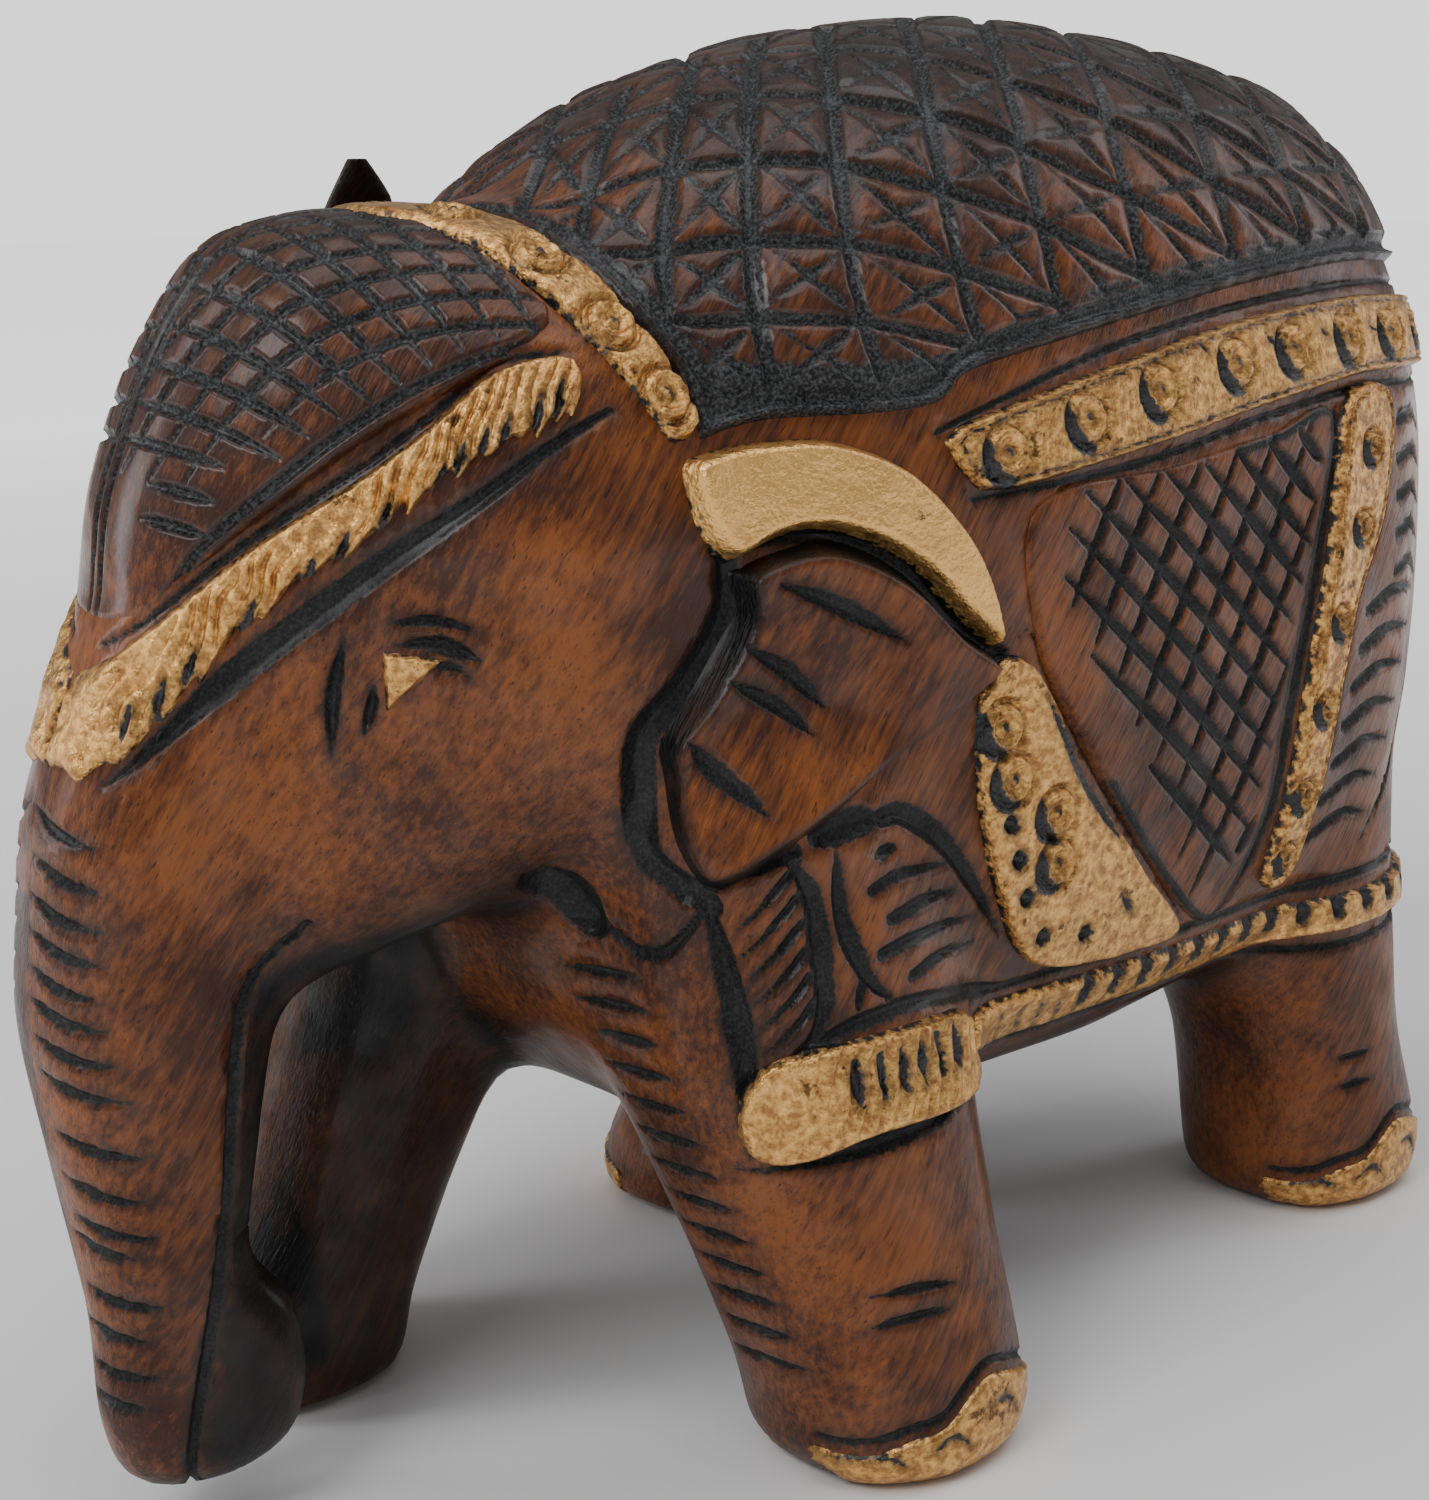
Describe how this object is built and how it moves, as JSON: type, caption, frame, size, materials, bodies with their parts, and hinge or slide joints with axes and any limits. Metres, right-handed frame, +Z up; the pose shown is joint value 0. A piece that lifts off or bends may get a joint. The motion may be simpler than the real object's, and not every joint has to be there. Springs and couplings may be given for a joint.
{
  "type": "carved elephant figurine",
  "caption": "Standing carved wooden elephant in a diamond-cut saddlecloth, with gilded bands, ear rims and toes; a shelf ornament that rests on its feet.",
  "frame": {"origin": "on the ground, under the middle of the figure's overall box", "axes": "+Z up; +X from head to tail, so the head looks to -X; the elephant's left side is -Y"},
  "size_m": [0.1706, 0.082, 0.1311],
  "materials": {
    "lacquered_wood": "reddish-brown stained wood with dark pores under a satin lacquer",
    "stained_wood": "carved wood with black stain wiped into the cuts, under a satin lacquer",
    "gold_paint": "wood under a thin coat of metallic gold paint"
  },
  "bodies": {
    "root": {"back_cloth": "stained_wood", "brow_band_left": "gold_paint", "brow_band_right": "gold_paint", "carved_block": "lacquered_wood", "ear_left": "lacquered_wood", "ear_right": "lacquered_wood", "ear_rim_left": "gold_paint", "ear_rim_right": "gold_paint", "ear_tip_right": "stained_wood", "eye_left": "gold_paint", "eye_right": "gold_paint", "flank_band_left": "gold_paint", "flank_band_right": "gold_paint", "forehead_cap": "stained_wood", "foreleg_fringe_left": "gold_paint", "foreleg_fringe_right": "gold_paint", "hem_border_left": "gold_paint", "hem_border_right": "gold_paint", "neck_band": "gold_paint", "rear_strap_left": "gold_paint", "rear_strap_right": "gold_paint", "rosette_drop_left": "gold_paint", "rosette_drop_right": "gold_paint", "side_panel_left": "stained_wood", "side_panel_right": "stained_wood", "tail": "lacquered_wood", "toe_cap_fore_left": "gold_paint", "toe_cap_fore_right": "gold_paint", "toe_cap_hind_left": "gold_paint", "toe_cap_hind_right": "gold_paint"}
  },
  "joints": []
}
